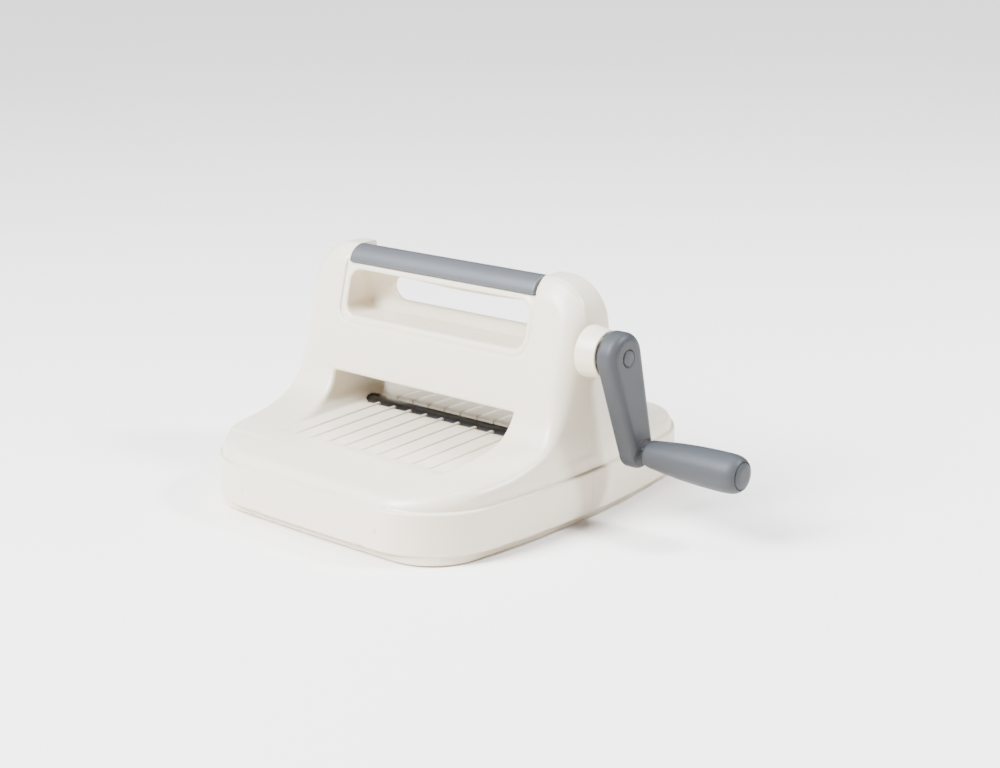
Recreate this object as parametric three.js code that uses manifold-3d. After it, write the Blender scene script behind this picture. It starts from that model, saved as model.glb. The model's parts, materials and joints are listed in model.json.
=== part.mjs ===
// Hand-cranked die cutting and embossing machine, in millimetres, +Z up.
// +X is the crank side, -Y the infeed side, and the machine stands on z = 0.
import * as THREE from 'three';
import { mergeVertices } from 'three/addons/utils/BufferGeometryUtils.js';
import Module from 'manifold-3d';

const wasm = await Module();
wasm.setup();

// ---- driving dimensions -------------------------------------------------------------------

const gap = 0.3; // air kept between pieces that touch
const wall = 2.6; // housing wall

const skirt = {
  halfWidth: 129.5, halfLength: 143, sideBow: 600, endBow: 3000, corner: 46, bottom: 7.3, top: 36,
};
const upperInset = 3; // the upper body stands in from the skirt
const baseInset = 5; // the base plate stands in from the skirt
const base = { bottom: 1.5, floor: 2.5, rimTop: 12, rimWall: 2.4 };
const foot = { radius: 9, height: 1.2, stem: 2.8, x: 98, y: 104 };

const platform = { atRoller: 50.6, atRibEnd: 48.6, ribEnd: 97, lip: 43, lipY: 131, thickness: 4.4 };
const rib = { count: 9, pitch: 15.77, width: 2.6, sink: 1.3, tip: 7.5 };
const rollerSlot = 9.7; // half width of the gap in the platform over the lower roller
const channel = { foot: 74.5, wall: 82.5, top: 86, ceiling: 76.5 };

const tower = { faceY: 30.4, faceZ: 76, frontLean: 0.281, rearLean: 0.1, top: 164 };
const shoulder = { halfWidth: 126.5, eaveZ: 139, eaveX: 100 };
const panel = { halfWidth: 91, bottom: 110.5, depth: 1.4, corner: 9 };
const bar = { halfLength: 87.5, y: 3.6, seatZ: 152, centreZ: 151.6, seatRadius: 10, coverRadius: 12.4 };
const grasp = {
  halfWidth: 69, bottom: 120.5, top: 142, frontHalfWidth: 84, frontBottom: 115, frontTop: 148,
};

const drive = { module: 1.4, pinionTeeth: 19, gearTeeth: 33 };
const sync = { module: 1.5, teeth: 29 };
const roller = { radius: 11.5, bore: 8, halfLength: 84.5, notch: 12.4, lowerZ: 39.5 };
const upperZ = roller.lowerZ + sync.module * sync.teeth;
const crankZ = upperZ + drive.module * (drive.pinionTeeth + drive.gearTeeth) / 2;

const shaft = { radius: 4, run: 0.3 }; // run is the radial air round a turning shaft
const plate = { x: 92, thickness: 2.5, bottom: 13, top: 130, footHalf: 46, waist: 19, neck: 10 };
const gearPlateX = 116.5;
const bush = { radius: 7, flange: 9.5, flangeThickness: 1.5 };

const arm = {
  angle: 0.262, throw: 71.2, hubRadius: 16.6, tipRadius: 11.6, back: 144.6, thickness: 15, edge: 4,
};
const collar = { rootRadius: 17.7, endRadius: 16, end: 142.4 };
const cap = { radius: 6.8, thickness: 3 };
const grip = { start: 162.5, length: 75.5, neckRadius: 9.2, radius: 13.3, bore: 4.6 };

const crankEnd = grip.start + grip.length;
const centreX = (crankEnd - skirt.halfWidth) / 2;

// ---- materials ----------------------------------------------------------------------------

const paint = {
  housing: { color: 0xece9e2, roughness: 0.45, metalness: 0 },
  grey: { color: 0x8b8f95, roughness: 0.5, metalness: 0 },
  cream: { color: 0xe9e2cd, roughness: 0.45, metalness: 0 },
  steel: { color: 0xa8abad, roughness: 0.35, metalness: 1 },
  darkSteel: { color: 0x55565a, roughness: 0.35, metalness: 1 },
  brass: { color: 0xb59a57, roughness: 0.35, metalness: 1 },
  nylon: { color: 0xf0eee6, roughness: 0.6, metalness: 0 },
  rubber: { color: 0x2b2b2d, roughness: 0.85, metalness: 0 },
};

const machine = new THREE.Group();
machine.position.x = -centreX;
const crank = new THREE.Group();
crank.position.z = crankZ;
crank.rotation.x = arm.angle;
machine.add(crank);

function addPiece(name, solid, finish, group = machine) {
  const mesh = new THREE.Mesh(toGeometry(solid), new THREE.MeshStandardMaterial(paint[finish]));
  mesh.name = name;
  group.add(mesh);
}

// ---- solids -------------------------------------------------------------------------------

function toSolid(geometry) {
  geometry.deleteAttribute('normal');
  geometry.deleteAttribute('uv');
  const merged = mergeVertices(geometry, 1e-4);
  const corners = merged.index.array;
  const kept = [];
  for (let i = 0; i < corners.length; i += 3) {
    const [a, b, c] = [corners[i], corners[i + 1], corners[i + 2]];
    if (a !== b && b !== c && c !== a) kept.push(a, b, c);
  }
  const vertProperties = merged.attributes.position.array;
  return new wasm.Manifold(new wasm.Mesh({ numProp: 3, vertProperties, triVerts: Uint32Array.from(kept) }));
}

function toGeometry(solid) {
  const { vertProperties, triVerts } = solid.getMesh();
  const geometry = new THREE.BufferGeometry();
  geometry.setAttribute('position', new THREE.BufferAttribute(Float32Array.from(vertProperties), 3));
  geometry.setIndex(new THREE.BufferAttribute(Uint32Array.from(triVerts), 1));
  geometry.computeVertexNormals();
  return geometry;
}

function join(...solids) {
  return solids.reduce((whole, next) => whole.add(next));
}

function block(x0, x1, y0, y1, z0, z1) {
  const geometry = new THREE.BoxGeometry(x1 - x0, y1 - y0, z1 - z0);
  geometry.translate((x0 + x1) / 2, (y0 + y1) / 2, (z0 + z1) / 2);
  return toSolid(geometry);
}

// A round bar along X whose axis passes through (y, z).
function barX(x0, x1, radius, y = 0, z = 0, sides = 24) {
  const geometry = new THREE.CylinderGeometry(radius, radius, x1 - x0, sides);
  geometry.rotateZ(Math.PI / 2);
  geometry.translate((x0 + x1) / 2, y, z);
  return toSolid(geometry);
}

function barY(y0, y1, radius, x, z, sides = 16) {
  const geometry = new THREE.CylinderGeometry(radius, radius, y1 - y0, sides);
  geometry.translate(x, (y0 + y1) / 2, z);
  return toSolid(geometry);
}

function barZ(z0, z1, radius, x, y, sides = 20) {
  const geometry = new THREE.CylinderGeometry(radius, radius, z1 - z0, sides);
  geometry.rotateX(Math.PI / 2);
  geometry.translate(x, y, (z0 + z1) / 2);
  return toSolid(geometry);
}

// A turned piece about the X axis from [x, radius] points that start and end on the axis.
function turnedX(points, y = 0, z = 0, sides = 28) {
  const geometry = new THREE.LatheGeometry(points.map(([x, r]) => new THREE.Vector2(r, x)), sides);
  geometry.rotateZ(-Math.PI / 2);
  geometry.translate(0, y, z);
  return toSolid(geometry);
}

// Extrudes a shape drawn in plan from z0 to z1.
function extrudeZ(shape, z0, z1, curveSegments = 10) {
  const geometry = new THREE.ExtrudeGeometry(shape, { depth: z1 - z0, bevelEnabled: false, curveSegments });
  geometry.translate(0, 0, z0);
  return toSolid(geometry);
}

// Extrudes a side view, drawn as (y, z), from x0 to x1.
function extrudeX(shape, x0, x1, curveSegments = 10) {
  const geometry = new THREE.ExtrudeGeometry(shape, { depth: x1 - x0, bevelEnabled: false, curveSegments });
  geometry.rotateX(Math.PI / 2);
  geometry.rotateZ(Math.PI / 2);
  geometry.translate(x0, 0, 0);
  return toSolid(geometry);
}

// Extrudes a front view, drawn as (x, z), from y0 to y1.
function extrudeY(shape, y0, y1, curveSegments = 10) {
  const geometry = new THREE.ExtrudeGeometry(shape, { depth: y1 - y0, bevelEnabled: false, curveSegments });
  geometry.rotateX(Math.PI / 2);
  geometry.translate(0, y1, 0);
  return toSolid(geometry);
}

function polygon(points) {
  return new THREE.Shape(points.map(([x, y]) => new THREE.Vector2(x, y)));
}

function roundedRectangle(halfWidth, bottom, top, radius) {
  const shape = new THREE.Shape();
  shape.moveTo(-halfWidth + radius, bottom);
  shape.lineTo(halfWidth - radius, bottom);
  shape.absarc(halfWidth - radius, bottom + radius, radius, -Math.PI / 2, 0);
  shape.lineTo(halfWidth, top - radius);
  shape.absarc(halfWidth - radius, top - radius, radius, 0, Math.PI / 2);
  shape.lineTo(-halfWidth + radius, top);
  shape.absarc(-halfWidth + radius, top - radius, radius, Math.PI / 2, Math.PI);
  shape.lineTo(-halfWidth, bottom + radius);
  shape.absarc(-halfWidth + radius, bottom + radius, radius, Math.PI, Math.PI * 1.5);
  return shape;
}

// ---- the body's outline and volumes -------------------------------------------------------

// Plan outline of the skirt moved in by an inset: four long shallow arcs joined by round corners.
function planOutline(inset) {
  const side = { x: skirt.halfWidth - skirt.sideBow, y: 0, radius: skirt.sideBow - inset };
  const end = { x: 0, y: skirt.halfLength - skirt.endBow, radius: skirt.endBow - inset };
  const corner = skirt.corner - inset;
  const [a, b] = [side.radius - corner, end.radius - corner];
  const apart = Math.hypot(end.x - side.x, end.y - side.y);
  const along = (a * a - b * b + apart * apart) / (2 * apart);
  const across = Math.sqrt(a * a - along * along);
  const [ux, uy] = [(end.x - side.x) / apart, (end.y - side.y) / apart];
  const cx = side.x + ux * along - uy * across;
  const cy = side.y + uy * along + ux * across;
  const sideTurn = Math.atan2(cy - side.y, cx - side.x);
  const endTurn = Math.atan2(cy - end.y, cx - end.x);

  const quarter = [];
  for (const t of [0, 0.5, 1]) {
    quarter.push([side.x + side.radius * Math.cos(sideTurn * t), side.radius * Math.sin(sideTurn * t)]);
  }
  const steps = 7;
  for (let i = 1; i <= steps; i += 1) {
    const turn = sideTurn + ((endTurn - sideTurn) * i) / steps;
    quarter.push([cx + corner * Math.cos(turn), cy + corner * Math.sin(turn)]);
  }
  quarter.push([0, skirt.halfLength - inset]);

  const back = quarter.slice(0, -1).reverse().map(([x, y]) => [-x, y]);
  const upper = [...quarter, ...back];
  const lower = upper.slice(1, -1).reverse().map(([x, y]) => [x, -y]);
  return polygon([...upper, ...lower]);
}

// Side view of the low body: flat over the rollers, easing down to a rounded lip at each end.
function platformProfile(drop) {
  const { atRoller, atRibEnd, ribEnd, lip, lipY } = platform;
  const endY = skirt.halfLength;
  const shape = new THREE.Shape();
  shape.moveTo(-endY, 0);
  shape.lineTo(endY, 0);
  shape.lineTo(endY, lip - 8 - drop);
  shape.quadraticCurveTo(endY - 4, lip - 1.5 - drop, lipY, lip + 1 - drop);
  shape.quadraticCurveTo(lipY - 14, atRibEnd - 0.6 - drop, ribEnd, atRibEnd - drop);
  shape.lineTo(0, atRoller - drop);
  shape.lineTo(-ribEnd, atRibEnd - drop);
  shape.quadraticCurveTo(-lipY + 14, atRibEnd - 0.6 - drop, -lipY, lip + 1 - drop);
  shape.quadraticCurveTo(-endY + 4, lip - 1.5 - drop, -endY, lip - 8 - drop);
  return shape;
}

// Side view of the flanks, which sweep from the tower's faces down to the platform.
function flankProfile(drop) {
  const { faceY, faceZ } = tower;
  const highZ = faceZ + 6;
  const highY = faceY - 2 - drop;
  const shape = new THREE.Shape();
  shape.moveTo(-105, 20);
  shape.lineTo(105, 20);
  shape.lineTo(105, 46.5 - drop);
  shape.bezierCurveTo(68, 49.2 - drop, faceY + 6 - drop, 55 - drop, highY, highZ);
  shape.lineTo(-highY, highZ);
  shape.bezierCurveTo(-faceY - 6 + drop, 55 - drop, -68, 49.2 - drop, -105, 46.5 - drop);
  return shape;
}

// Side view of the tower: a leaning front, a steeper rear, and a round crown that touches both.
function towerProfile(inset) {
  const { faceY, faceZ, frontLean, rearLean, top } = tower;
  const [frontSlant, rearSlant] = [Math.hypot(1, frontLean), Math.hypot(1, rearLean)];
  const rise = top - faceZ;
  const spread = 2 * faceY - (frontLean + rearLean) * rise;
  const crown = spread / (frontSlant + rearSlant - frontLean - rearLean);
  const crownY = frontLean * (rise - crown) - faceY + frontSlant * crown;
  const shape = new THREE.Shape();
  shape.moveTo(-faceY - frontLean * (faceZ - 30) + inset, 30);
  shape.lineTo(faceY + rearLean * (faceZ - 30) - inset, 30);
  shape.absarc(crownY, top - crown, crown - inset, Math.atan(rearLean), Math.PI - Math.atan(frontLean));
  return shape;
}

// Front view of the tower: upright sides with large rounded shoulders.
function shoulderProfile(inset) {
  const halfWidth = shoulder.halfWidth - inset;
  const top = tower.top - inset;
  const shape = new THREE.Shape();
  shape.moveTo(-halfWidth - 6, 0);
  shape.lineTo(halfWidth + 6, 0);
  shape.lineTo(halfWidth + 1, 100);
  shape.lineTo(halfWidth, shoulder.eaveZ);
  shape.quadraticCurveTo(halfWidth - 1.5, top - 3, shoulder.eaveX, top);
  shape.lineTo(-shoulder.eaveX, top);
  shape.quadraticCurveTo(-halfWidth + 1.5, top - 3, -halfWidth, shoulder.eaveZ);
  shape.lineTo(-halfWidth - 1, 100);
  return shape;
}

// Front view of the feed channel: walls that lean out above a small fillet.
function channelProfile(grow) {
  const points = [
    [channel.foot + grow, 30],
    [channel.foot + grow, platform.atRoller],
    [channel.foot + 4.5 + grow, platform.atRoller + 2],
    [channel.wall + grow, platform.atRoller + 8],
    [channel.top + grow, channel.ceiling + grow],
  ];
  return polygon([...points, ...points.map(([x, z]) => [-x, z]).reverse()]);
}

// Volume of the hole for the hand, narrowing from the infeed face to the middle of the bar.
function graspVolume(grow) {
  const { halfWidth, bottom, top, frontHalfWidth, frontBottom, frontTop } = grasp;
  const radius = (top - bottom) / 2 - 0.5 + grow;
  const opening = roundedRectangle(halfWidth + grow, bottom - grow, top + grow, radius);
  const through = extrudeY(opening, -1, 60, 6);
  const depth = 34;
  const shape = roundedRectangle(halfWidth + grow, bottom - grow, top + grow, radius);
  const geometry = new THREE.ExtrudeGeometry(shape, { depth, bevelEnabled: false, curveSegments: 6 });
  const mouth = { x: frontHalfWidth / halfWidth, low: bottom - frontBottom, high: frontTop - top };
  const position = geometry.attributes.position;
  const reach = depth / 18;
  for (let i = 0; i < position.count; i += 1) {
    const t = (position.getZ(i) / depth) * reach;
    const upper = position.getY(i) > (top + bottom) / 2;
    position.setX(i, position.getX(i) * (1 + (mouth.x - 1) * t));
    position.setY(i, position.getY(i) + t * (upper ? mouth.high : -mouth.low));
  }
  geometry.rotateX(Math.PI / 2);
  return join(through, toSolid(geometry));
}

// Volume cut away so that the bar and the panel round the hand hole lie behind the tower's face.
function panelVolume(grow) {
  const { halfWidth, bottom, depth, corner } = panel;
  const [low, high] = [bottom - 20, tower.top + 20];
  const border = roundedRectangle(halfWidth + grow, bottom - grow, high, corner + grow);
  const outline = extrudeY(border, -60, 60, 5);
  const inFrontOf = (lean) => {
    const face = (z) => tower.faceY - lean * (z - tower.faceZ) - depth - grow;
    return extrudeX(polygon([[-60, low], [-60, high], [-face(high), high], [-face(low), low]]), -150, 150);
  };
  const front = inFrontOf(tower.frontLean);
  const rear = inFrontOf(tower.rearLean).mirror([0, 1, 0]);
  const aboveBar = block(-bar.halfLength - grow, bar.halfLength + grow, -60, 60, bar.seatZ - grow, high);
  return join(join(front, rear).intersect(outline), aboveBar);
}

function barCore(inset) {
  const radius = bar.seatRadius - inset;
  const reach = bar.halfLength + 4;
  return barX(-reach, reach, radius, bar.y, bar.centreZ, 32);
}

// The whole outer body with every surface moved in by an inset.
function bodyVolume(inset) {
  const plan = extrudeZ(planOutline(upperInset + inset), 0, 200);
  const low = extrudeX(platformProfile(inset === 0 ? 0 : platform.thickness), -150, 150, 8);
  const flanks = extrudeX(flankProfile(inset), -150, 150, 12);
  const shoulders = extrudeY(shoulderProfile(inset), -60, 60, 10);
  const upright = extrudeX(towerProfile(inset), -150, 150, 10).intersect(shoulders);
  const handle = join(upright.subtract(panelVolume(inset)), barCore(inset)).subtract(graspVolume(inset));
  const high = join(flanks, handle).subtract(extrudeY(channelProfile(inset), -150, 150));
  const lower = extrudeZ(planOutline(inset), skirt.bottom - inset * 4, skirt.top - inset);
  return join(join(low, high).intersect(plan), lower);
}

// ---- housing ------------------------------------------------------------------------------

const bossPlaces = [-1, 1].flatMap((sx) => [-1, 1].map((sy) => [sx * 84, sy * 88]));
const shellScrew = { x: 106, z: 146, seat: 7.2, tip: -5.5 };

function ribGrooves() {
  const { count, pitch, width, sink } = rib;
  const grooveWidth = pitch - width;
  const grooves = [];
  for (let i = 0; i <= count; i += 1) {
    const centre = (i - count / 2) * pitch;
    const halfWidth = i === 0 || i === count ? 3 : grooveWidth / 2;
    for (const side of [-1, 1]) {
      const wedge = polygon([
        [side * platform.ribEnd, platform.atRibEnd + 0.01],
        [side * platform.ribEnd, platform.atRibEnd + 4],
        [0, platform.atRoller + 4],
        [0, platform.atRoller - sink],
      ]);
      grooves.push(extrudeX(wedge, centre - halfWidth, centre + halfWidth));
    }
  }
  return join(...grooves);
}

// The opening over the lower roller, with the ribs reaching a little further over it as teeth.
function rollerOpening() {
  let opening = block(-channel.foot + 0.2, channel.foot - 0.2, -rollerSlot, rollerSlot, 30, 60);
  for (let i = 0; i < rib.count; i += 1) {
    const x = (i - (rib.count - 1) / 2) * rib.pitch;
    for (const side of [-1, 1]) {
      const [near, far] = [rib.tip, rollerSlot + 2].map((y) => side * y).sort((a, b) => a - b);
      opening = opening.subtract(block(x - rib.width / 2, x + rib.width / 2, near, far, 48.6, 60));
    }
  }
  return opening;
}

function housing() {
  let shell = bodyVolume(0).subtract(bodyVolume(wall));
  shell = shell.subtract(block(-150, 150, -150, 150, -10, skirt.bottom));
  shell = shell.subtract(ribGrooves()).subtract(rollerOpening());
  shell = shell.subtract(barX(-98, 98, roller.notch, 0, roller.lowerZ, 28));
  const rollerRoom = block(-channel.wall, channel.wall, -14.5, 14.5, channel.ceiling - 6, channel.ceiling + 6);
  shell = shell.subtract(rollerRoom);
  shell = shell.subtract(barX(-98, 98, roller.notch, 0, upperZ, 28));
  shell = shell.subtract(barX(115, 140, 9, 0, crankZ));
  for (const [x, y] of bossPlaces) {
    const post = barZ(base.rimTop, platform.atRibEnd - 2, 4.5, x, y, 16);
    shell = shell.add(post).subtract(barZ(0, 34, 1.7, x, y, 12));
  }
  for (const x of [-shellScrew.x, shellScrew.x]) {
    const post = barY(-30, 30, 4.5, x, shellScrew.z, 16).intersect(bodyVolume(0));
    shell = shell.add(post).subtract(barY(-6, 40, 1.8, x, shellScrew.z, 12));
    shell = shell.subtract(barY(shellScrew.seat - gap / 2, 40, 3.4, x, shellScrew.z, 16));
  }
  return shell;
}

function addHousing() {
  const shell = housing();
  const split = gap / 2;
  addPiece('front_housing', shell.intersect(block(-200, 200, -200, -split, -5, 200)), 'housing');
  addPiece('rear_housing', shell.intersect(block(-200, 200, split, 200, -5, 200)), 'housing');
}

function addHandleCover() {
  const { halfLength, y, seatZ, centreZ, seatRadius, coverRadius } = bar;
  const reach = halfLength - gap;
  const outer = barX(-reach, reach, coverRadius, y, centreZ, 32);
  const inner = barX(-reach - 1, reach + 1, seatRadius + gap, y, centreZ, 32);
  const below = block(-200, 200, -50, 50, 0, seatZ + gap);
  addPiece('handle_cover', outer.subtract(inner).subtract(below), 'grey');
}

// ---- base ---------------------------------------------------------------------------------

function addBase() {
  const { bottom, floor, rimTop, rimWall } = base;
  let tray = extrudeZ(planOutline(baseInset), bottom, rimTop);
  tray = tray.subtract(extrudeZ(planOutline(baseInset + rimWall), bottom + floor, rimTop + 5));
  for (const [x, y] of bossPlaces) tray = tray.subtract(barZ(0, 10, 2.1, x, y, 14));
  for (const sx of [-1, 1]) {
    for (const sy of [-1, 1]) {
      tray = tray.subtract(barZ(0, 10, foot.stem + gap, sx * foot.x, sy * foot.y, 16));
    }
  }
  addPiece('base_plate', tray, 'housing');

  bossPlaces.forEach(([x, y], i) => {
    const head = barZ(bottom - 0.9, bottom - 0.1, 3.6, x, y, 16);
    addPiece(`base_screw_${i + 1}`, join(head, barZ(bottom - 0.5, 26, 1.4, x, y, 12)), 'steel');
  });

  const names = ['front_left', 'rear_left', 'front_right', 'rear_right'];
  let i = 0;
  for (const sx of [-1, 1]) {
    for (const sy of [-1, 1]) {
      const [x, y] = [sx * foot.x, sy * foot.y];
      const pad = barZ(0, foot.height, foot.radius, x, y, 24);
      const stem = barZ(foot.height - 0.2, bottom + floor + 1, foot.stem, x, y, 16);
      const head = barZ(bottom + floor + gap, bottom + floor + 2, foot.stem + 1.4, x, y, 16);
      addPiece(`foot_${names[i]}`, join(pad, stem, head), 'rubber');
      i += 1;
    }
  }
}

function addShellScrews() {
  const { x, z, seat, tip } = shellScrew;
  for (const [name, side] of [['left', -1], ['right', 1]]) {
    const shank = barY(tip, seat + 0.5, 1.4, side * x, z, 12);
    const head = barY(seat, seat + 2.2, 3.1, side * x, z, 16);
    addPiece(`${name}_housing_screw`, join(shank, head), 'steel');
  }
}

// ---- steel frame --------------------------------------------------------------------------

function sideOutline() {
  const { bottom, top, footHalf, waist, neck } = plate;
  const right = [[footHalf, bottom], [footHalf, 34], [waist + 5, 52], [waist + 4, 78], [neck, top]];
  return polygon([...right, ...right.map(([y, z]) => [-y, z]).reverse()]);
}

const tieRodPlaces = [[-33, 24], [33, 24], [0, 103.5]];

function addFrame() {
  const { x, thickness } = plate;
  const hole = bush.radius + gap;
  let blank = extrudeX(sideOutline(), x, x + thickness);
  for (const z of [roller.lowerZ, upperZ]) blank = blank.subtract(barX(x - 5, x + 5, hole, 0, z));
  for (const [y, z] of tieRodPlaces) blank = blank.subtract(barX(x - 5, x + 5, 2.8, y, z, 16));
  addPiece('left_side_plate', blank.mirror([1, 0, 0]), 'steel');
  addPiece('right_side_plate', blank.subtract(barX(x - 5, x + 5, hole, 0, crankZ)), 'steel');

  let gearPlate = extrudeX(gearPlateOutline(), gearPlateX, gearPlateX + 2);
  gearPlate = gearPlate.subtract(barX(110, 125, hole, 0, crankZ));
  gearPlate = gearPlate.subtract(barX(110, 125, shaft.radius + shaft.run, 0, upperZ));
  for (const [y, z] of gearSpacerPlaces) gearPlate = gearPlate.subtract(barX(110, 125, 1.9, y, z, 12));
  addPiece('gear_plate', gearPlate, 'steel');

  tieRodPlaces.forEach(([y, z], i) => {
    const name = ['front_tie_rod', 'rear_tie_rod', 'top_tie_rod'][i];
    const reach = plate.x - gap;
    const ends = barX(-plate.x - 4, plate.x + 4, 2.4, y, z, 16);
    const middle = i === 2 ? barX(-reach, reach, 3, y, z, 16) : barX(-reach, reach, 4.5, y, z, 16);
    addPiece(name, join(middle, ends), 'steel');
  });

  gearSpacerPlaces.forEach(([y, z], i) => {
    const name = ['gear_spacer_front', 'gear_spacer_rear'][i];
    const body = barX(x + thickness + gap, gearPlateX - gap, 3, y, z, 16);
    addPiece(name, join(body, barX(x + thickness, gearPlateX + 3, 1.5, y, z, 12)), 'steel');
  });
}

const gearSpacerPlaces = [[-27, 60], [27, 60]];

function gearPlateOutline() {
  const right = [[14, 52], [31, 56], [31, 64], [14, 96], [11, 131]];
  return polygon([...right, ...right.map(([y, z]) => [-y, z]).reverse()]);
}

function flangedBush(x0, x1, flangeSide, z, bore) {
  const outer = [x1 - 0.1, x1 + bush.flangeThickness];
  const inner = [x0 - bush.flangeThickness, x0 + 0.1];
  const flangeX = flangeSide > 0 ? outer : inner;
  const flange = barX(flangeX[0], flangeX[1], bush.flange, 0, z, 20);
  const body = join(barX(x0, x1, bush.radius, 0, z, 20), flange);
  return body.subtract(barX(x0 - 5, x1 + 5, bore, 0, z, 20));
}

function addBushes() {
  const { x, thickness } = plate;
  const bore = shaft.radius + shaft.run;
  const outer = x + thickness + gap;
  for (const [level, z] of [['lower', roller.lowerZ], ['upper', upperZ]]) {
    const right = flangedBush(x - 1, outer, 1, z, bore);
    addPiece(`${level}_right_bush`, right, 'brass');
    addPiece(`${level}_left_bush`, right.mirror([1, 0, 0]), 'brass');
  }
  addPiece('crank_inner_bush', flangedBush(x - 1, outer, 1, crankZ, bore), 'brass');
  addPiece('crank_outer_bush', flangedBush(gearPlateX - gap, gearPlateX + 3, -1, crankZ, bore), 'brass');
}

// ---- rollers and gears --------------------------------------------------------------------

// Spur gear along X. The turn is measured from +Z, and a tooth or a gap can point there.
function gear(module, teeth, x0, x1, bore, z, turn) {
  const pitchRadius = (module * teeth) / 2;
  const step = (2 * Math.PI) / teeth;
  const rows = [
    [-0.5, -1.2], [-0.27, -1.2], [-0.215, 0], [-0.11, 0.95], [0.11, 0.95], [0.215, 0], [0.27, -1.2],
  ];
  const points = [];
  for (let i = 0; i < teeth; i += 1) {
    for (const [part, height] of rows) {
      const angle = turn + (i + part) * step;
      const radius = pitchRadius + height * module;
      points.push([radius * Math.sin(angle), z + radius * Math.cos(angle)]);
    }
  }
  return extrudeX(polygon(points.reverse()), x0, x1).subtract(barX(x0 - 5, x1 + 5, bore, 0, z, 24));
}

function addRoller(level, z, shaftEnd) {
  const { radius, bore, halfLength } = roller;
  const tube = barX(-halfLength, halfLength, radius, 0, z, 36);
  addPiece(`${level}_roller`, tube.subtract(barX(-100, 100, bore, 0, z, 28)), 'darkSteel');
  const core = barX(-halfLength + 1, halfLength - 1, bore - gap, 0, z, 28);
  const journal = barX(-plate.x - 7, shaftEnd, shaft.radius, 0, z, 24);
  addPiece(`${level}_roller_shaft`, join(core, journal), 'steel');
}

function addRollersAndGears() {
  addRoller('lower', roller.lowerZ, 107);
  addRoller('upper', upperZ, 120.5);
  const seat = shaft.radius + gap;
  const halfSync = Math.PI / sync.teeth;
  const lowerGear = gear(sync.module, sync.teeth, 97.5, 104, seat, roller.lowerZ, halfSync);
  addPiece('lower_sync_gear', lowerGear, 'nylon');
  addPiece('upper_sync_gear', gear(sync.module, sync.teeth, 97.5, 104, seat, upperZ, Math.PI), 'nylon');
  const halfDrive = Math.PI / drive.gearTeeth;
  addPiece('drive_gear', gear(drive.module, drive.gearTeeth, 105.5, 113, seat, upperZ, halfDrive), 'nylon');
}

// ---- crank --------------------------------------------------------------------------------
// The crank group's origin is on the shaft axis, and the arm hangs along its -Z.

function addCollar() {
  const { rootRadius, endRadius, end } = collar;
  const root = shoulder.halfWidth + 1.6;
  const profile = [[root, 0], [root, rootRadius], [end - 1, endRadius], [end, endRadius - 0.8], [end, 0]];
  const body = turnedX(profile, 0, crankZ);
  addPiece('crank_collar', body.subtract(barX(100, 160, 7 + gap, 0, crankZ)), 'cream');
  const bore = shaft.radius + shaft.run;
  const sleeve = barX(root + 1, end - 1, 7, 0, crankZ).subtract(barX(100, 160, bore, 0, crankZ));
  addPiece('collar_bush', sleeve, 'nylon');
}

// Front view of the arm, drawn as (y, z) from the shaft axis to the grip axis.
function armOutline(shrink) {
  const { hubRadius, tipRadius } = arm;
  const lift = Math.asin((hubRadius - tipRadius) / arm.throw);
  const shape = new THREE.Shape();
  shape.absarc(0, 0, hubRadius - shrink, -lift, Math.PI + lift);
  shape.absarc(0, -arm.throw, tipRadius - shrink, Math.PI + lift, 2 * Math.PI - lift);
  return shape;
}

function addCrank() {
  const { back, thickness, edge } = arm;
  const front = back + thickness;
  const steps = 3;
  let armSolid = extrudeX(armOutline(0), back, front - edge, 9);
  for (let i = 1; i <= steps; i += 1) {
    const turn = ((i / steps) * Math.PI) / 2;
    const shrink = edge * (1 - Math.cos(turn));
    const top = front - edge + edge * Math.sin(turn);
    armSolid = armSolid.add(extrudeX(armOutline(shrink), back + 2, top, 9));
  }
  const seat = shaft.radius + gap;
  armSolid = armSolid.subtract(barX(back - 5, front - 6, seat));
  armSolid = armSolid.subtract(barX(front - 7, front + 5, 2.4, 0, 0, 16));
  armSolid = armSolid.subtract(barX(front - 5.5, front + 5, cap.radius + gap));
  armSolid = armSolid.subtract(barX(back - 5, front + 5, 2.6 + gap, 0, -arm.throw, 20));
  armSolid = armSolid.subtract(barX(back - 5, back + 3, 5.6, 0, -arm.throw, 24));
  addPiece('crank_arm', armSolid, 'grey', crank);

  const shaftBody = barX(plate.x - 3, front - 6.5, shaft.radius);
  addPiece('crank_shaft', shaftBody.subtract(barX(front - 20, front, 1.6, 0, 0, 12)), 'steel', crank);
  const pinion = gear(drive.module, drive.pinionTeeth, 105, 113.5, seat, 0, Math.PI);
  const upright = pinion.rotate([(-arm.angle * 180) / Math.PI, 0, 0]);
  addPiece('crank_pinion', upright, 'steel', crank);

  const washer = barX(collar.end + 0.35, back - 0.35, 7.5).subtract(barX(100, 200, seat));
  addPiece('crank_washer', washer, 'steel', crank);
  const head = barX(front - 5.2, front - 3.4, 4.2, 0, 0, 16);
  const screw = join(barX(front - 18, front - 5.2, 1.3, 0, 0, 12), head);
  addPiece('crank_screw', screw, 'steel', crank);
  const capTop = front + 0.6;
  const plug = turnedX([[capTop - cap.thickness, 0], [capTop - cap.thickness, cap.radius],
    [capTop - 0.8, cap.radius], [capTop, cap.radius - 1.4], [capTop + 0.3, 0]]);
  addPiece('crank_screw_cap', plug, 'grey', crank);
}

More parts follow.
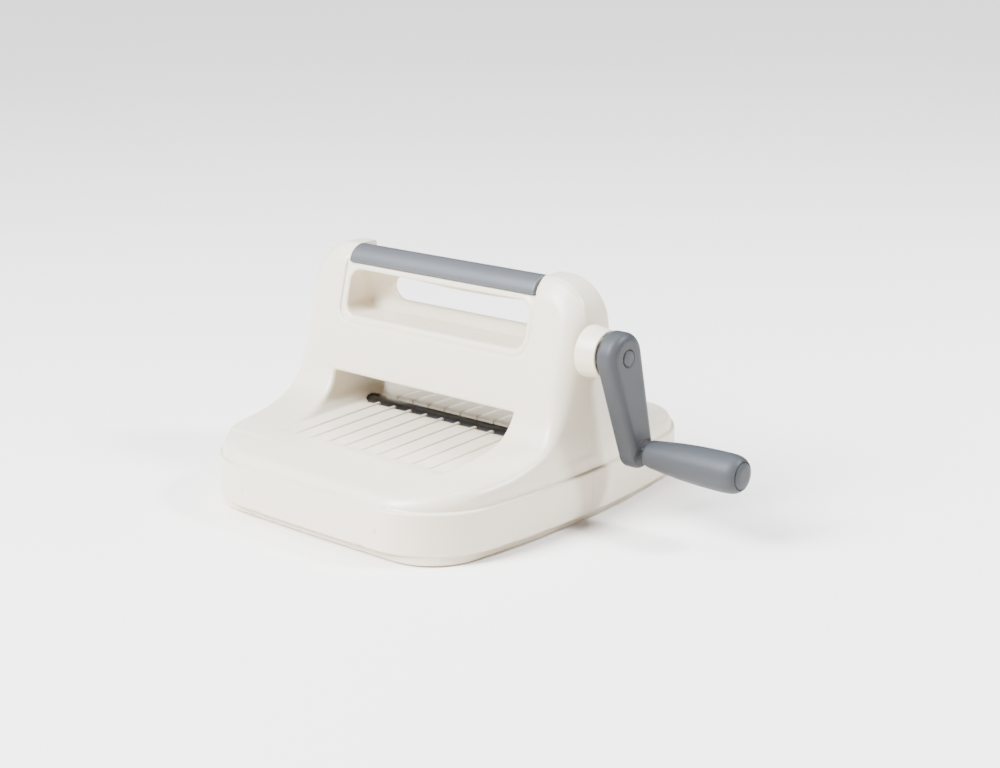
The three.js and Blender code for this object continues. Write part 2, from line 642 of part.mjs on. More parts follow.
function addGrip() {
  const { start, length, neckRadius, radius, bore } = grip;
  const z = -arm.throw;
  const back = arm.back;
  const end = start + length;
  const axle = join(barX(back + 0.6, back + 2.6, 5, 0, z, 24), barX(back + 2, end - 12, 2.6, 0, z, 20));
  const pin = barX(arm.back + arm.thickness + gap, start + 12, 4, 0, z, 20);
  addPiece('grip_axle', join(axle, pin), 'steel', crank);

  const outline = [
    [start, 0], [start, neckRadius - 1.6], [start + 1.5, neckRadius], [start + 12, neckRadius + 1.3],
    [start + 28, radius - 1.2], [start + 45, radius - 0.2], [start + 60, radius], [end - 8, radius - 0.3],
    [end - 3.5, radius - 1.6], [end - 1.4, radius - 3.4], [end - 1.4, 0],
  ];
  const body = turnedX(outline, 0, z, 32).subtract(barX(start - 5, end - 9, bore, 0, z));
  const mouth = barX(end - 11, end + 5, radius - 4.6, 0, z);
  addPiece('crank_grip', body.subtract(mouth), 'grey', crank);

  const plug = [
    [end - 7, 0], [end - 7, radius - 4.9], [end - 1.2, radius - 4.9], [end - 0.3, radius - 6.4], [end, 0],
  ];
  addPiece('grip_end_cap', turnedX(plug, 0, z, 28), 'grey', crank);
  const nut = barX(end - 11.6, end - 9.4, 4, 0, z, 6).subtract(barX(end - 20, end, 2.9, 0, z, 16));
  addPiece('grip_axle_nut', nut, 'steel', crank);
}

addHousing();
addHandleCover();
addBase();
addShellScrews();
addFrame();
addBushes();
addRollersAndGears();
addCollar();
addCrank();
addGrip();

export default machine;
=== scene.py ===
"""Looks of the hand-cranked die cutting machine: moulded shells, crank, rollers and finishes."""
import json
import math

import bmesh
import bpy
import numpy as np
import openvdb
from mathutils import Matrix, Vector


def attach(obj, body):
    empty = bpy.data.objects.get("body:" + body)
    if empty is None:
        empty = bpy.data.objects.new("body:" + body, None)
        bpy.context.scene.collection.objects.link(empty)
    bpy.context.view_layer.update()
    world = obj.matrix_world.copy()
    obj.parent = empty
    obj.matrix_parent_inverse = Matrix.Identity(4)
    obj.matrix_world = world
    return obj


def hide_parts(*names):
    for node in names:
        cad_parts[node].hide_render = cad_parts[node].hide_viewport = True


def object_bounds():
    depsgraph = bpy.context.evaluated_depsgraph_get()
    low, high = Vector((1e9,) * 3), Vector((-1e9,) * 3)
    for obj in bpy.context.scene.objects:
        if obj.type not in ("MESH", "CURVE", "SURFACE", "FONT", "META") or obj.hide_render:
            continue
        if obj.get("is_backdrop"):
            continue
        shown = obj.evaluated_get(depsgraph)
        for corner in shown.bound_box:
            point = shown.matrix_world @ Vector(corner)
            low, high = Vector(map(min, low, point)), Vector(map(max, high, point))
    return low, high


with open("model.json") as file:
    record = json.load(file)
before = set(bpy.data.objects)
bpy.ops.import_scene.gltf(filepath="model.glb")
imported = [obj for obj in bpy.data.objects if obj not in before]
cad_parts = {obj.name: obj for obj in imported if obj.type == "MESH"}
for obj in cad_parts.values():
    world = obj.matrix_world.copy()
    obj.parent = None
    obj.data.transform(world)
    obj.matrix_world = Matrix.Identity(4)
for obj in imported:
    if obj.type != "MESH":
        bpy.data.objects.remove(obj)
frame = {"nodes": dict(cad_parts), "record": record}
low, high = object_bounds()

# ---- driving dimensions, in millimetres about the middle of the body -------------------------

MM = 0.001
CENTRE_X = -(low.x / MM) - 129.5  # how far the body's middle lies to the left of the frame's origin
SKIRT = dict(half_width=129.5, half_length=143.0, side_bow=600.0, end_bow=3000.0, corner=46.0)
SKIRT_BOTTOM, SKIRT_TOP, UPPER_INSET = 7.3, 36.0, 3.0
WALL = 2.6
PLATFORM_Z, RIB_END_Y, RIB_END_Z = 50.6, 97.0, 48.6
GROOVE_HALF_WIDTH, GROOVE_DEPTH = 80.0, 1.6
RIB_COUNT, RIB_PITCH, RIB_WIDTH = 9, 15.77, 2.6
RIB_TIP_Y, ROLLER_GAP_X, ROLLER_GAP_Y = 7.5, 74.3, 9.7
FLANK_Z, FLANK_RISE, FLANK_REACH, FLANK_END_Y = 46.3, 21.0, 25.0, 110.0
FACE_Y, FACE_Z, TOWER_TOP = 30.4, 76.0, 164.0
FRONT_LEAN, REAR_LEAN = 0.281, 0.1
SHOULDER, FRONT_EDGE, REAR_EDGE, FLANK_EDGE = 30.0, 14.0, 4.0, 6.0
SEAM = 0.2
GATE_X, GATE_Z = 63.6, 21.0
PANEL_HALF_WIDTH, PANEL_BOTTOM, PANEL_DEPTH = 90.0, 110.5, 1.6
LIP_WIDTH, LIP_HEIGHT = 4.6, 0.9
HOLE_HALF_WIDTH, HOLE_BOTTOM, HOLE_TOP, HOLE_CORNER = 71.5, 121.5, 143.0, 9.0
MOUTH_WIDER, MOUTH_LOWER, MOUTH_HIGHER = 13.5, 6.0, 5.0
CHANNEL_WALL, CHANNEL_LEAN, CHANNEL_FILLET, CEILING_Z = 83.5, 0.13, 9.0, 75.8
BAR_HALF_LENGTH, BAR_SEAT_Z, BAR_Y, BAR_Z = 87.5, 152.0, 3.6, 151.6
COVER_HALF_WIDTH, COVER_HEIGHT = 12.6, 12.3
LOWER_Z, UPPER_Z, CRANK_Z = 39.5, 83.0, 119.4
ROLLER_RADIUS, NOTCH_RADIUS = 11.5, 12.4
ARM_ANGLE, ARM_THROW, HUB_RADIUS, TIP_RADIUS = 0.262, 71.2, 16.6, 11.6
ARM_BACK, ARM_FRONT = 144.6, 159.6
CAP_RADIUS, CAP_SEAT_RADIUS = 5.45, 5.6
COLLAR_START, COLLAR_END, COLLAR_RADIUS = 128.1, 143.4, 17.7
GRIP_START, GRIP_END = 162.5, 238.0
ROLLER_HALF_LENGTH = 84.5
GRIP_Y = ARM_THROW * math.sin(ARM_ANGLE)
GRIP_Z = CRANK_Z - ARM_THROW * math.cos(ARM_ANGLE)


def at(x, y, z):
    """A point given about the middle of the body, in the frame's metres."""
    return Vector(((x - CENTRE_X) * MM, y * MM, z * MM))


# ---- distance fields ------------------------------------------------------------------------


def round_cut(a, b, radius):
    """Intersection of two fields whose shared edge is rounded to a radius."""
    p, q = a + radius, b + radius
    outside = np.hypot(np.maximum(p, 0), np.maximum(q, 0))
    return np.minimum(np.maximum(p, q), 0) + outside - radius


def soft_join(a, b, reach):
    """Union of two fields with a fillet about as wide as reach."""
    h = np.maximum(reach - np.abs(a - b), 0) / reach
    return np.minimum(a, b) - h * h * reach / 4


def soft_cut(a, b, reach):
    return -soft_join(-a, -b, reach)


def plan_field(x, y):
    """Plan outline: long shallow arcs on four sides joined by round corners."""
    side = np.hypot(np.abs(x) + SKIRT["side_bow"] - SKIRT["half_width"], y) - SKIRT["side_bow"]
    end = np.hypot(x, np.abs(y) + SKIRT["end_bow"] - SKIRT["half_length"]) - SKIRT["end_bow"]
    return round_cut(side, end, SKIRT["corner"])


def platform_height(y):
    """Height of the feed platform, which eases down beyond the ends of the ribs."""
    run = np.abs(y)
    slope = (PLATFORM_Z - RIB_END_Z) / RIB_END_Y
    beyond = np.maximum(run - RIB_END_Y + 8, 0)
    return PLATFORM_Z - slope * run - beyond * beyond / 420


def groove_depth(x, y):
    """The floor between the ribs sinks towards the rollers."""
    inside = np.clip((GROOVE_HALF_WIDTH - np.abs(x)) / 3, 0, 1)
    return inside * np.clip((RIB_END_Y - 1 - np.abs(y)) / 9, 0, 1) * GROOVE_DEPTH


def flank_height(y):
    """Top of the side walls, which sweep up to the tower."""
    return FLANK_Z + FLANK_RISE * np.exp(-(np.abs(y) - FACE_Y) / FLANK_REACH)


def tower_face(y, z):
    """Distance outside the leaning front and rear faces."""
    front = (-y - FACE_Y + FRONT_LEAN * (z - FACE_Z)) / math.hypot(1, FRONT_LEAN)
    rear = (y - FACE_Y + REAR_LEAN * (z - FACE_Z)) / math.hypot(1, REAR_LEAN)
    return front, rear


def round_box(x, z, half_width, bottom, top, radius):
    """Rounded rectangle in the front view."""
    p = np.abs(x) - half_width + radius
    q = np.abs(z - (bottom + top) / 2) - (top - bottom) / 2 + radius
    outside = np.hypot(np.maximum(p, 0), np.maximum(q, 0))
    return outside + np.minimum(np.maximum(p, q), 0) - radius


def tower_field(side, y, z):
    """Tower on its flanks, inside the side walls, with round shoulders and edges."""
    front, rear = tower_face(y, z)
    top = flank_height(y)
    flank = (z - top) / np.sqrt(1 + ((top - FLANK_Z) / FLANK_REACH) ** 2)
    flank = np.maximum(flank, np.abs(y) - FLANK_END_Y)
    faces = soft_join(flank, round_cut(front, rear, 5.0), 9.0)
    shoulder = round_cut(side, z - TOWER_TOP, SHOULDER)
    edge = FRONT_EDGE + (REAR_EDGE - FRONT_EDGE) * np.clip((y + 4) / 16, 0, 1)
    edge = FLANK_EDGE + (edge - FLANK_EDGE) * np.clip((z - 60) / 30, 0, 1)
    return round_cut(faces, shoulder, edge)


def hand_hole(x, y, z):
    """Hole for the fingers: a wide straight mouth that closes in on a smaller rear hole."""
    mouth = np.clip((21 - y) / 14, 0, 1)
    mouth = 0.95 * mouth * mouth * (3 - 2 * mouth)
    back = np.clip(y / 22, 0, 1)
    sag = 2.4 * np.clip(1 - (x / 62) ** 2, 0, 1) * (1 - mouth)
    top = HOLE_TOP + MOUTH_HIGHER * mouth - 4.0 * back - sag
    bottom = HOLE_BOTTOM - MOUTH_LOWER * mouth
    return round_box(x, z, HOLE_HALF_WIDTH + MOUTH_WIDER * mouth, bottom, top, HOLE_CORNER)


def panel_recess(x, y, z):
    """The shallow panel round the hand hole, in front and behind."""
    front, rear = tower_face(y, z)
    outline = round_box(x, z, PANEL_HALF_WIDTH, PANEL_BOTTOM, TOWER_TOP + 30, 12.0)
    lip = np.clip((LIP_WIDTH - hand_hole(x, y, z)) / 1.2, 0, 1)
    return np.maximum(outline, LIP_HEIGHT * lip - PANEL_DEPTH - np.maximum(front, rear))


def channel_field(x, y, z):
    """Air of the feed channel: flat floor, walls leaning out, open above the platforms."""
    wall = (np.abs(x) - CHANNEL_WALL - CHANNEL_LEAN * (z - 60)) / 1.01
    floor = platform_height(y) - groove_depth(x, y) - z
    return np.maximum(round_cut(wall, floor, CHANNEL_FILLET), z - CEILING_Z)


def body_field(x, y, z):
    """The whole outer body without its underside."""
    plan = plan_field(x, y)
    low_body = round_cut(plan + UPPER_INSET, z - platform_height(y) + groove_depth(x, y), 8.0)
    high_body = tower_field(plan + UPPER_INSET, y, z)
    high_body = soft_cut(high_body, -panel_recess(x, y, z), 1.2)
    bar_top = np.maximum(BAR_SEAT_Z - z, np.abs(x) - BAR_HALF_LENGTH)
    high_body = np.maximum(high_body, -bar_top)
    high_body = soft_cut(high_body, -hand_hole(x, y, z), 2.0)
    high_body = soft_cut(high_body, -channel_field(x, y, z), 3.5)
    upper = soft_join(low_body, high_body, 2.5)
    skirt = round_cut(plan, z - SKIRT_TOP, 1.2)
    return np.minimum(upper, skirt)


def shell_field(x, y, z):
    """The hollow moulding, open below, with room for the rollers and the crank shaft."""
    body = body_field(x, y, z)
    shell = np.maximum(body, -(body + WALL))
    shell = np.maximum(shell, SKIRT_BOTTOM - z)
    run = np.abs(y)
    gap = np.maximum(np.maximum(np.abs(x) - ROLLER_GAP_X, run - ROLLER_GAP_Y), np.abs(z - 50) - 8)
    shell = soft_cut(shell, -gap, 1.5)
    reach = np.abs(x) - 98
    for axis_z in (LOWER_Z, UPPER_Z):
        shell = np.maximum(shell, -np.maximum(np.hypot(y, z - axis_z) - NOTCH_RADIUS, reach))
    roller_room = np.maximum(np.abs(x) - 82.5, np.maximum(run - 14.5, np.abs(z - CEILING_Z) - 7))
    shell = np.maximum(shell, -roller_room)
    bore = np.maximum(np.hypot(y, z - CRANK_Z) - 9, 115 - x)
    return np.maximum(shell, -bore)


def field_mesh(name, field, lows, highs, step, faces=None):
    """Meshes the zero surface of a field, given in millimetres about the middle of the body."""
    lows = np.array(lows, float)
    counts = np.ceil((np.array(highs) - lows) / step).astype(int) + 1
    axes = [lows[i] + step * np.arange(counts[i]) for i in range(3)]
    x, y, z = np.meshgrid(*[a.astype(np.float32) for a in axes], indexing="ij", sparse=True)
    values = field(x, y, z).astype(np.float32)
    values = np.clip(np.broadcast_to(values, counts), -4 * step, 4 * step)
    grid = openvdb.FloatGrid(4 * step)
    grid.copyFromArray(np.ascontiguousarray(values))
    points, quads = grid.convertToQuads(isovalue=0.0)
    points = lows + points.astype(float) * step
    nudge = 0.25 * step
    for _ in range(2):
        p = [points[:, i] for i in range(3)]
        here = field(*p)
        ahead = [field(*[p[j] + nudge * (i == j) for j in range(3)]) for i in range(3)]
        slope = np.stack([there - here for there in ahead], 1)
        slope /= nudge
        length = np.maximum((slope**2).sum(1), 0.25)
        move = np.clip(here / length, -0.5 * step, 0.5 * step)
        points = points - slope * move[:, None]
    return make_object(name, points, quads[:, ::-1], faces)


def make_object(name, points, faces, target=None, smooth=True):
    """Makes an object from points in millimetres, thinned to a number of triangles if asked."""
    mesh = bpy.data.meshes.new(name)
    metres = (np.asarray(points, float) - [CENTRE_X, 0, 0]) * MM
    mesh.from_pydata(metres.tolist(), [], [list(map(int, f)) for f in faces])
    mesh.validate()
    obj = bpy.data.objects.new(name, mesh)
    bpy.context.scene.collection.objects.link(obj)
    if target:
        triangles = 2 * len(faces)
        thin = obj.modifiers.new("thin", "DECIMATE")
        thin.ratio = min(1.0, target / triangles)
        bake_modifiers(obj)
    if smooth:
        obj.data.shade_smooth()
    return obj


def bake_modifiers(obj):
    bpy.context.view_layer.update()
    evaluated = obj.evaluated_get(bpy.context.evaluated_depsgraph_get())
    mesh = bpy.data.meshes.new_from_object(evaluated)
    obj.modifiers.clear()
    obj.data = mesh


def lathe(name, outline, axis_y, axis_z, sides=96, sharp=35):
    """Turned piece about the X axis from (x, radius) points."""
    points, faces = [], []
    for x, radius in outline:
        for k in range(sides):
            turn = 2 * math.pi * k / sides
            points.append((x, axis_y + radius * math.sin(turn), axis_z + radius * math.cos(turn)))
    for i in range(len(outline) - 1):
        for k in range(sides):
            a, b = i * sides + k, i * sides + (k + 1) % sides
            faces.append((a, b, b + sides, a + sides))
    faces.append(tuple(range(sides))[::-1])
    faces.append(tuple(range((len(outline) - 1) * sides, len(outline) * sides)))
    obj = make_object(name, points, faces)
    obj.data.set_sharp_from_angle(angle=math.radians(sharp))
    return obj


def rounded(points, radius, steps=6):
    """Rounds the inner corners of an open polyline."""
    out = [points[0]]
    for before, corner, after in zip(points, points[1:], points[2:]):
        c = Vector(corner)
        a, b = Vector(before) - c, Vector(after) - c
        reach = min(radius, 0.45 * a.length, 0.45 * b.length)
        start, end = c + a.normalized() * reach, c + b.normalized() * reach
        for i in range(steps + 1):
            t = i / steps
            p = start * (1 - t) ** 2 + c * 2 * t * (1 - t) + end * t**2
            out.append(tuple(p))
    out.append(points[-1])
    return out


# ---- finishes -------------------------------------------------------------------------------


def finish(
    name, color, roughness, metallic=0.0, spread=0.02, grain=40.0, bump=0.02, stretch=(1, 1, 1), spec=0.5
):
    """A procedural finish: slight colour and roughness drift and a fine surface grain."""
    material = bpy.data.materials.new(name)
    material.use_nodes = True
    nodes, links = material.node_tree.nodes, material.node_tree.links
    shader = nodes["Principled BSDF"]
    shader.inputs["Metallic"].default_value = metallic
    shader.inputs["Specular IOR Level"].default_value = spec
    place = nodes.new("ShaderNodeTexCoord")
    mapping = nodes.new("ShaderNodeMapping")
    mapping.inputs["Scale"].default_value = stretch
    links.new(place.outputs["Object"], mapping.inputs["Vector"])

    broad = nodes.new("ShaderNodeTexNoise")
    broad.inputs["Scale"].default_value = grain * 0.5
    broad.inputs["Detail"].default_value = 3
    links.new(mapping.outputs["Vector"], broad.inputs["Vector"])
    tint = nodes.new("ShaderNodeValToRGB")
    dark = [c * (1 - spread) for c in color]
    light = [min(1.0, c * (1 + spread)) for c in color]
    tint.color_ramp.elements[0].position = 0.3
    tint.color_ramp.elements[0].color = (*dark, 1)
    tint.color_ramp.elements[1].position = 0.7
    tint.color_ramp.elements[1].color = (*light, 1)
    links.new(broad.outputs["Fac"], tint.inputs["Fac"])
    links.new(tint.outputs["Color"], shader.inputs["Base Color"])

    rough = nodes.new("ShaderNodeMapRange")
    rough.inputs["To Min"].default_value = roughness * 0.88
    rough.inputs["To Max"].default_value = roughness * 1.12
    links.new(broad.outputs["Fac"], rough.inputs["Value"])
    links.new(rough.outputs["Result"], shader.inputs["Roughness"])

    fine = nodes.new("ShaderNodeTexNoise")
    fine.inputs["Scale"].default_value = grain * 40
    fine.inputs["Detail"].default_value = 2
    links.new(mapping.outputs["Vector"], fine.inputs["Vector"])
    relief = nodes.new("ShaderNodeBump")
    relief.inputs["Strength"].default_value = bump
    relief.inputs["Distance"].default_value = 0.0005
    links.new(fine.outputs["Fac"], relief.inputs["Height"])
    links.new(relief.outputs["Normal"], shader.inputs["Normal"])
    return material


LOOKS = {
    "ivory_plastic": dict(color=(0.71, 0.61, 0.465), roughness=0.34, spread=0.012, grain=12, bump=0.03),
    "grey_plastic": dict(
        color=(0.046, 0.046, 0.048), roughness=0.47, spread=0.04, grain=20, bump=0.12, spec=0.22
    ),
    "cover_plastic": dict(
        color=(0.074, 0.072, 0.074), roughness=0.42, spread=0.03, grain=20, bump=0.08, spec=0.4
    ),
    "cream_plastic": dict(color=(0.70, 0.61, 0.45), roughness=0.36, spread=0.015, grain=16, bump=0.03),
    "foot_rubber": dict(color=(0.02, 0.02, 0.021), roughness=0.8, spread=0.1, bump=0.2),
    "dark_steel": dict(
        color=(0.16, 0.16, 0.17), roughness=0.3, metallic=1.0, spread=0.08, grain=30, bump=0.05,
        stretch=(0.1, 1, 1),
    ),
    "bright_steel": dict(
        color=(0.56, 0.57, 0.58), roughness=0.3, metallic=1.0, spread=0.06, grain=30, bump=0.05,
        stretch=(1, 1, 0.15),
    ),
    "bush_brass": dict(
        color=(0.48, 0.36, 0.13), roughness=0.3, metallic=1.0, spread=0.06, grain=30, bump=0.05
    ),
    "gear_nylon": dict(color=(0.82, 0.8, 0.73), roughness=0.45, spread=0.02, grain=20, bump=0.06),
}
FINISHES = {name: finish(name, **look) for name, look in LOOKS.items()}


def give(obj, slot):
    obj.data.materials.clear()
    obj.data.materials.append(FINISHES[slot])


def place(obj, slot, body, *nodes, look=None):
    """Finishes a piece and puts it on its CAD body in the place of some CAD nodes."""
    give(obj, look or slot)
    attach(obj, body)
    if nodes:
        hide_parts(*nodes)


# ---- housing --------------------------------------------------------------------------------


def rib_mesh(name, side):
    """The ribs of one platform, each running out over the roller gap as a thin tooth."""
    points, faces = [], []
    tip = RIB_TIP_Y if side < 0 else ROLLER_GAP_Y - 0.6
    stations = [tip, tip + 0.5, ROLLER_GAP_Y + 0.6, 20, 35, 50, 65, 80, 90, RIB_END_Y]
    for i in range(RIB_COUNT):
        x = (i - (RIB_COUNT - 1) / 2) * RIB_PITCH
        first = len(points)
        for run in stations:
            top = float(platform_height(np.float64(run))) + 0.05
            depth = 1.9 if run < ROLLER_GAP_Y else 3.4
            top -= 0.5 if run == tip else 0.0
            half = RIB_WIDTH / 2
            left = [(-half, -depth), (-half, -0.6), (-half + 0.55, 0)]
            section = left + [(-dx, dz) for dx, dz in reversed(left)]
            points += [(x + dx, side * run, top + dz) for dx, dz in section]
        for s in range(len(stations) - 1):
            for k in range(6):
                a, b = first + s * 6 + k, first + s * 6 + (k + 1) % 6
                quad = (a, b, b + 6, a + 6)
                faces.append(quad if side < 0 else quad[::-1])
        cap = tuple(range(first, first + 6))
        faces.append(cap[::-1] if side < 0 else cap)
        end = tuple(range(first + 6 * (len(stations) - 1), first + 6 * len(stations)))
        faces.append(end if side < 0 else end[::-1])
    obj = make_object(name, points, faces)
    obj.data.set_sharp_from_angle(angle=math.radians(25))
    return obj


def merge(main, *others):
    """Joins meshes that are one moulding."""
    bpy.ops.object.select_all(action="DESELECT")
    for obj in (main, *others):
        obj.select_set(True)
    bpy.context.view_layer.objects.active = main
    bpy.ops.object.join()
    return main


def halve(whole, name, side):
    """One half of the moulding, cut straight along the seam and closed there."""
    mesh = bmesh.new()
    mesh.from_mesh(whole.data)
    geometry = mesh.verts[:] + mesh.edges[:] + mesh.faces[:]
    seam = (0, side * SEAM / 2 * MM, 0)
    away = (0, -side, 0)
    bmesh.ops.bisect_plane(mesh, geom=geometry, plane_co=seam, plane_no=away, clear_outer=True)
    rim = [edge for edge in mesh.edges if edge.is_boundary]
    bmesh.ops.triangle_fill(mesh, use_beauty=True, edges=rim)
    bmesh.ops.recalc_face_normals(mesh, faces=mesh.faces)
    data = bpy.data.meshes.new(name)
    mesh.to_mesh(data)
    mesh.free()
    data.shade_smooth()
    data.set_sharp_from_angle(angle=math.radians(50))
    half = bpy.data.objects.new(name, data)
    bpy.context.scene.collection.objects.link(half)
    return half


def gate_mark(x):
    """The small round mark that the mould's pin leaves on the front skirt."""
    y = SKIRT["end_bow"] - SKIRT["half_length"] - math.sqrt(SKIRT["end_bow"] ** 2 - x * x)
    outline = [(-0.6, 0.01), (-0.6, 2.3), (0.12, 2.3), (0.25, 2.0), (0.25, 0.01)]
    disc = lathe("gate_mark", outline, 0, 0, sides=24)
    face_front = Matrix.Rotation(math.radians(-90), 4, "Z")
    to_centre, to_place = Matrix.Translation(-at(0, 0, 0)), Matrix.Translation(at(x, y, GATE_Z))
    disc.data.transform(to_place @ face_front @ to_centre)
    return disc


def build_housing():
    step = 1.1
    whole = field_mesh("housing", shell_field, (-133, -147, 4), (133, 147, 171), step, 350_000)
    for name, side in (("front_housing", -1), ("rear_housing", 1)):
        shell = halve(whole, name + "_shell", side)
        shell = merge(shell, rib_mesh(name + "_ribs", side))
        if side < 0:
            shell = merge(shell, gate_mark(-GATE_X), gate_mark(GATE_X))
        place(shell, "ivory_plastic", "frame", name)
    bpy.data.objects.remove(whole)


def build_handle_cover():
    """Grey cover clipped over the carrying bar, with a rounded crown."""
    def crown(x, y, z):
        dome = np.hypot((y - BAR_Y) / COVER_HALF_WIDTH, np.maximum(z - BAR_Z, 0) / COVER_HEIGHT) - 1
        body = np.maximum(dome * COVER_HEIGHT, BAR_SEAT_Z + 0.2 - z)
        body = round_cut(body, np.abs(x) - BAR_HALF_LENGTH + 0.4, 0.8)
        return body
    cover = field_mesh("handle_cover_skin", crown, (-90, -13, 149), (90, 20, 168), 0.8, 40_000)
    place(cover, "grey_plastic", "frame", "handle_cover", look="cover_plastic")


# ---- crank ----------------------------------------------------------------------------------


def build_crank():
    def arm(x, y, z):
        turn_y = y * math.cos(ARM_ANGLE) + (z - CRANK_Z) * math.sin(ARM_ANGLE)
        drop = -(z - CRANK_Z) * math.cos(ARM_ANGLE) + y * math.sin(ARM_ANGLE)
        share = (HUB_RADIUS - TIP_RADIUS) / ARM_THROW
        lean = math.sqrt(1 - share * share)
        across = np.abs(turn_y)
        along = drop * lean - across * share
        hub = np.hypot(across, drop) - HUB_RADIUS
        tip = np.hypot(across, drop - ARM_THROW) - TIP_RADIUS
        flank = across * lean + drop * share - HUB_RADIUS
        outline = np.where(along < 0, hub, np.where(along > ARM_THROW * lean, tip, flank))
        solid = round_cut(outline, x - ARM_FRONT, 6.0)
        solid = round_cut(solid, ARM_BACK - x, 3.5)
        seat = np.maximum(np.hypot(turn_y, drop) - CAP_SEAT_RADIUS, ARM_FRONT - 2.2 - x)
        socket = np.maximum(np.hypot(turn_y, drop - ARM_THROW) - 9.6, ARM_FRONT - 2 - x)
        solid = soft_cut(solid, -seat, 0.8)
        return soft_cut(solid, -socket, 0.8)
    piece = field_mesh("crank_arm_skin", arm, (142, -20, 34), (162, 34, 139), 0.8, 60_000)
    place(piece, "grey_plastic", "crank", "crank_arm")

    back, front = ARM_FRONT - 2.1, ARM_FRONT + 0.4
    cap = [(back, 0.01), (back, CAP_RADIUS), (front, CAP_RADIUS), (front + 0.2, 0.01)]
    piece = lathe("crank_cap", rounded(cap, 1.2), 0, CRANK_Z)
    place(piece, "grey_plastic", "crank", "crank_screw_cap")

    start, end = COLLAR_START, COLLAR_END
    collar = [(start, 0.01), (start, COLLAR_RADIUS), (end, COLLAR_RADIUS - 1.8)]
    collar += [(end, 14.2), (end - 2.8, 14.2), (end - 2.8, 0.01)]
    piece = lathe("crank_collar_skin", rounded(collar, 1.0), 0, CRANK_Z)
    place(piece, "cream_plastic", "frame", "crank_collar")


def grip_outline():
    """Grip profile: slim at the arm, fullest near the outer end."""
    stations = [
        (0, 7.4), (0.8, 8.8), (2.5, 9.3), (8, 9.9), (16, 10.9), (26, 11.9), (38, 12.7),
        (50, 13.1), (60, 13.2), (66, 13.1), (69.5, 12.5), (72, 11.5), (73.6, 10.1),
    ]
    xs = np.array([s[0] for s in stations], float)
    rs = np.array([s[1] for s in stations], float)
    fine = np.concatenate([np.linspace(a, b, 5)[:-1] for a, b in zip(xs, xs[1:])] + [xs[-1:]])
    smooth = np.interp(fine, xs, rs)
    for _ in range(6):
        smooth[1:-1] = (smooth[:-2] + 2 * smooth[1:-1] + smooth[2:]) / 4
    return [(GRIP_START + x, r) for x, r in zip(fine, smooth)]


def build_grip():
    outline = [(GRIP_START + 6, 0.01), (GRIP_START + 6, 5.0), (GRIP_START, 5.4)] + grip_outline()
    end = outline[-1][0]
    outline += [(end + 0.3, 9.4), (end - 0.8, 9.1), (end - 0.8, 0.01)]
    grip = lathe("crank_grip_skin", outline, GRIP_Y, GRIP_Z)
    place(grip, "grey_plastic", "grip", "crank_grip")
    disc = [(end - 0.7, 0.01), (end - 0.7, 8.9), (end + 0.9, 8.7)]
    disc += [(GRIP_END, 5.5), (GRIP_END, 0.01)]
    cap = lathe("grip_end_cap_skin", rounded(disc, 1.6), GRIP_Y, GRIP_Z)
    place(cap, "grey_plastic", "grip", "grip_end_cap")


def build_rollers():
    for level, z in (("lower", LOWER_Z), ("upper", UPPER_Z)):
        half = [(-ROLLER_HALF_LENGTH, 7.9), (-ROLLER_HALF_LENGTH, ROLLER_RADIUS)]
        outline = half + [(-x, radius) for x, radius in reversed(half)]
        roller = lathe(f"{level}_roller_skin", rounded(outline, 0.8), 0, z)
        place(roller, "dark_steel", f"{level}_roller_body", f"{level}_roller")


def dress_cad_nodes():
    """Every CAD node that still shows gets the finish of its material slot."""
    slots = {s["node"]: s["material_slot"] for s in frame["record"]["subparts"]}
    for name, obj in frame["nodes"].items():
        if obj.hide_render:
            continue
        give(obj, slots[name])


# ---- stage ----------------------------------------------------------------------------------


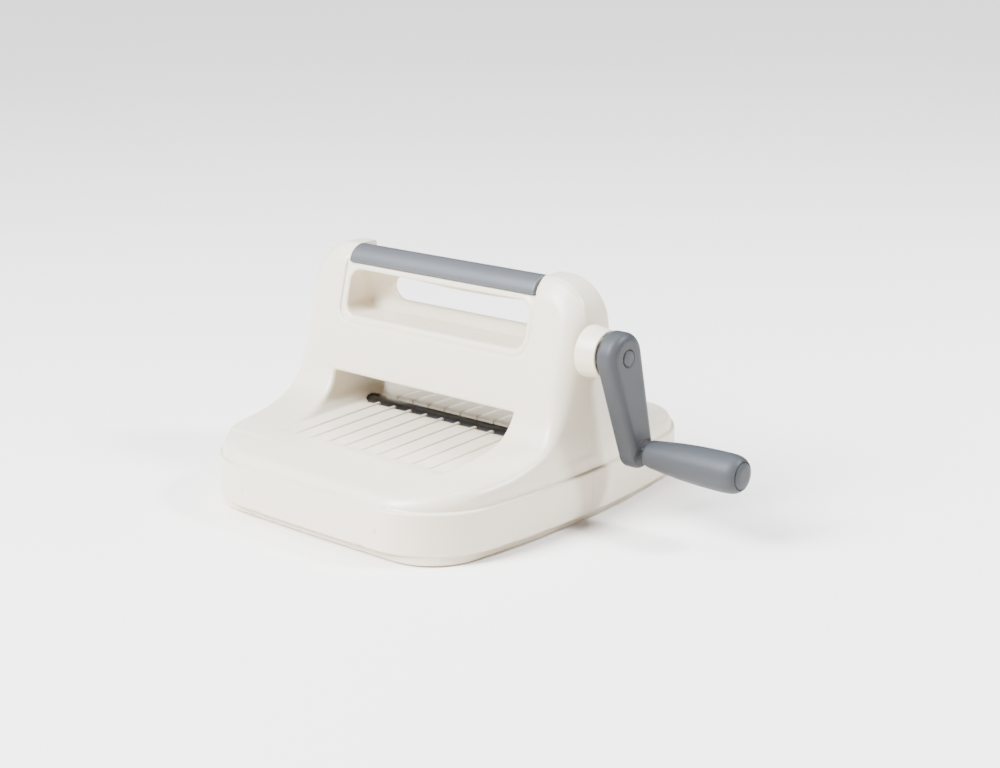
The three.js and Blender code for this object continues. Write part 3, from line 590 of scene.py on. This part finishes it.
def build_floor():
    bpy.ops.mesh.primitive_plane_add(size=60, location=(0, 0, 0))
    floor = bpy.context.object
    floor.name = "floor"
    paper = finish("floor", (0.94, 0.86, 0.775), 0.7, spread=0.005, grain=2, bump=0.0)
    glow = paper.node_tree.nodes["Principled BSDF"].inputs
    glow["Emission Color"].default_value = (1, 1, 1, 1)
    glow["Emission Strength"].default_value = 0.1
    floor.data.materials.append(paper)
    floor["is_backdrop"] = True


def build_lights():
    world = bpy.data.worlds.new("studio")
    bpy.context.scene.world = world
    world.use_nodes = True
    nodes, links = world.node_tree.nodes, world.node_tree.links
    fill = nodes["Background"]
    fill.inputs["Color"].default_value = (1, 1, 1, 1)
    fill.inputs["Strength"].default_value = 0.04
    backdrop = nodes.new("ShaderNodeBackground")
    backdrop.inputs["Color"].default_value = (1, 1, 1, 1)
    backdrop.inputs["Strength"].default_value = 3.0
    seen = nodes.new("ShaderNodeLightPath")
    either = nodes.new("ShaderNodeMixShader")
    links.new(seen.outputs["Is Camera Ray"], either.inputs["Fac"])
    links.new(fill.outputs["Background"], either.inputs[1])
    links.new(backdrop.outputs["Background"], either.inputs[2])
    links.new(either.outputs["Shader"], nodes["World Output"].inputs["Surface"])
    for name, spot, size, power in (
        ("front", (-0.6, -1.5, 1.25), 0.7, 120),
        ("right", (1.1, 0.7, 1.3), 0.3, 62),
        ("top", (-0.2, 0.35, 2.2), 0.9, 25),
    ):
        data = bpy.data.lights.new(name, "AREA")
        data.size = size
        data.energy = power
        hang(data, spot)
    sun = bpy.data.lights.new("window", "SUN")
    sun.angle = math.radians(30)
    sun.energy = 9.0
    hang(sun, (-0.5, -0.9, 1.5))


def hang(data, spot):
    """Puts a light at a spot and turns it to the middle of the machine."""
    data.color = (0.82, 0.90, 1.0)
    lamp = bpy.data.objects.new(data.name, data)
    bpy.context.scene.collection.objects.link(lamp)
    lamp.location = spot
    lamp.rotation_mode = "QUATERNION"
    lamp.rotation_quaternion = (Vector((0, 0, 0.08)) - Vector(spot)).to_track_quat("-Z", "Y")


def build_camera():
    """Camera at the front right, a little above the machine, with a slight roll."""
    spot, target, roll = at(829.0, -881.2, 428.5), at(48.25, 0, 82.28), math.radians(-1.1)
    ahead = (target - spot).normalized()
    right = ahead.cross(Vector((0, 0, 1))).normalized()
    up = right.cross(ahead)
    across = right * math.cos(roll) + up * math.sin(roll)
    upward = up * math.cos(roll) - right * math.sin(roll)
    data = bpy.data.cameras.new("camera")
    data.lens = 64.0
    data.sensor_width = 36.0
    camera = bpy.data.objects.new("camera", data)
    bpy.context.scene.collection.objects.link(camera)
    facing = Matrix((across, upward, -ahead)).transposed().to_4x4()
    camera.matrix_world = Matrix.Translation(spot) @ facing
    bpy.context.scene.camera = camera


build_housing()
build_handle_cover()
build_crank()
build_grip()
build_rollers()
dress_cad_nodes()
build_floor()
build_lights()
build_camera()

low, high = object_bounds()
